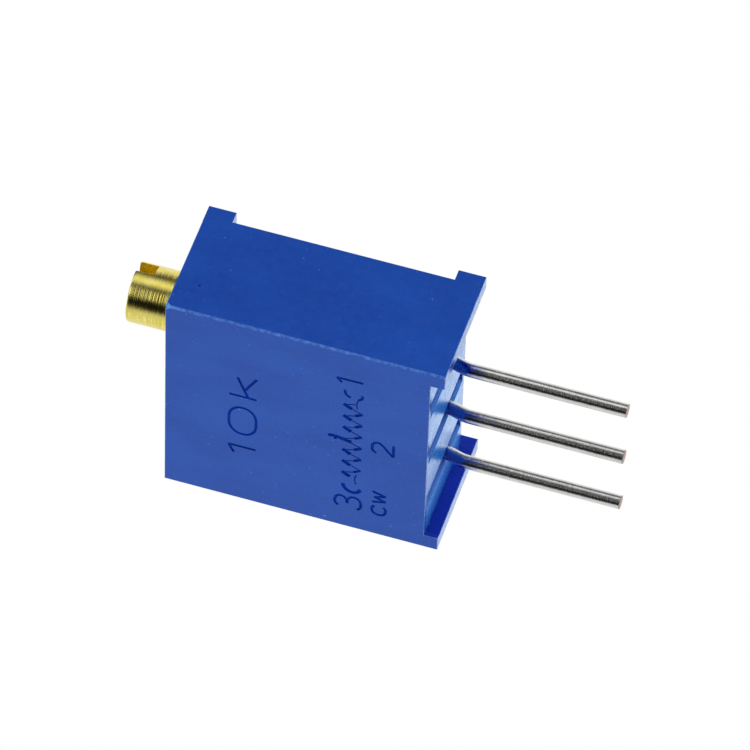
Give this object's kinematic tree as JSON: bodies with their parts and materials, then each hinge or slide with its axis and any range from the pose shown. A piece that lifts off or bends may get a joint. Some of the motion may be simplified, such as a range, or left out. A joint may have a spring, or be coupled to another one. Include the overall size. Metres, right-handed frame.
{
  "type": "trimmer potentiometer",
  "caption": "Square multi-turn trimmer potentiometer with a slotted brass adjustment screw in its top face and three in-line wire leads.",
  "frame": {"origin": "axis of the middle lead, in the plane of the feet that stand on the circuit board", "axes": "+Z away from the board to the adjustment screw, +X along the row of leads to the side that holds the screw, -Y out of the flat front face"},
  "size_m": [0.0096, 0.0048, 0.0177],
  "materials": {
    "moulded_blue": "moulded blue thermoset, fine satin skin, recessed marks",
    "blue_resin": "cast blue sealing resin",
    "tinned_wire": "bright tinned copper wire",
    "solder": "bright solder",
    "alumina": "fired white alumina",
    "resistive_film": "fired dark cermet film",
    "silver_film": "fired silver palladium film",
    "turned_brass": "turned brass with fine turning marks",
    "spring_brass": "stamped spring brass",
    "seal_rubber": "black silicone",
    "carriage_nylon": "natural nylon",
    "wiper_spring": "stamped precious metal alloy"
  },
  "bodies": {
    "case": {"housing": "moulded_blue", "base_plate": "moulded_blue", "end_seal": "blue_resin", "lead_1": "tinned_wire", "lead_2": "tinned_wire", "lead_3": "tinned_wire", "solder_joint_1": "solder", "solder_joint_2": "solder", "solder_joint_3": "solder", "ceramic_plate": "alumina", "resistive_track": "resistive_film", "collector_track": "silver_film", "ccw_conductor": "silver_film", "cw_conductor": "silver_film", "retaining_clip": "spring_brass"},
    "screw": {"adjustment_screw": "turned_brass", "o_ring": "seal_rubber"},
    "slider": {"carriage": "carriage_nylon", "wiper": "wiper_spring"}
  },
  "joints": [
    {"name": "screw_turn", "type": "hinge", "parent": "case", "child": "screw", "pos_m": [0.00352, -0.00114, 0.01015], "axis": [0, 0, 1], "range_deg": [-4500, 4500]},
    {"name": "carriage_travel", "type": "slide", "parent": "case", "child": "slider", "axis": [0, 0, 1], "range_m": [-0.00317, 0.00317]}
  ],
  "couplings": [
    {"joint": "carriage_travel", "follows": "screw_turn", "m_per_rad": -0.000040425}
  ]
}
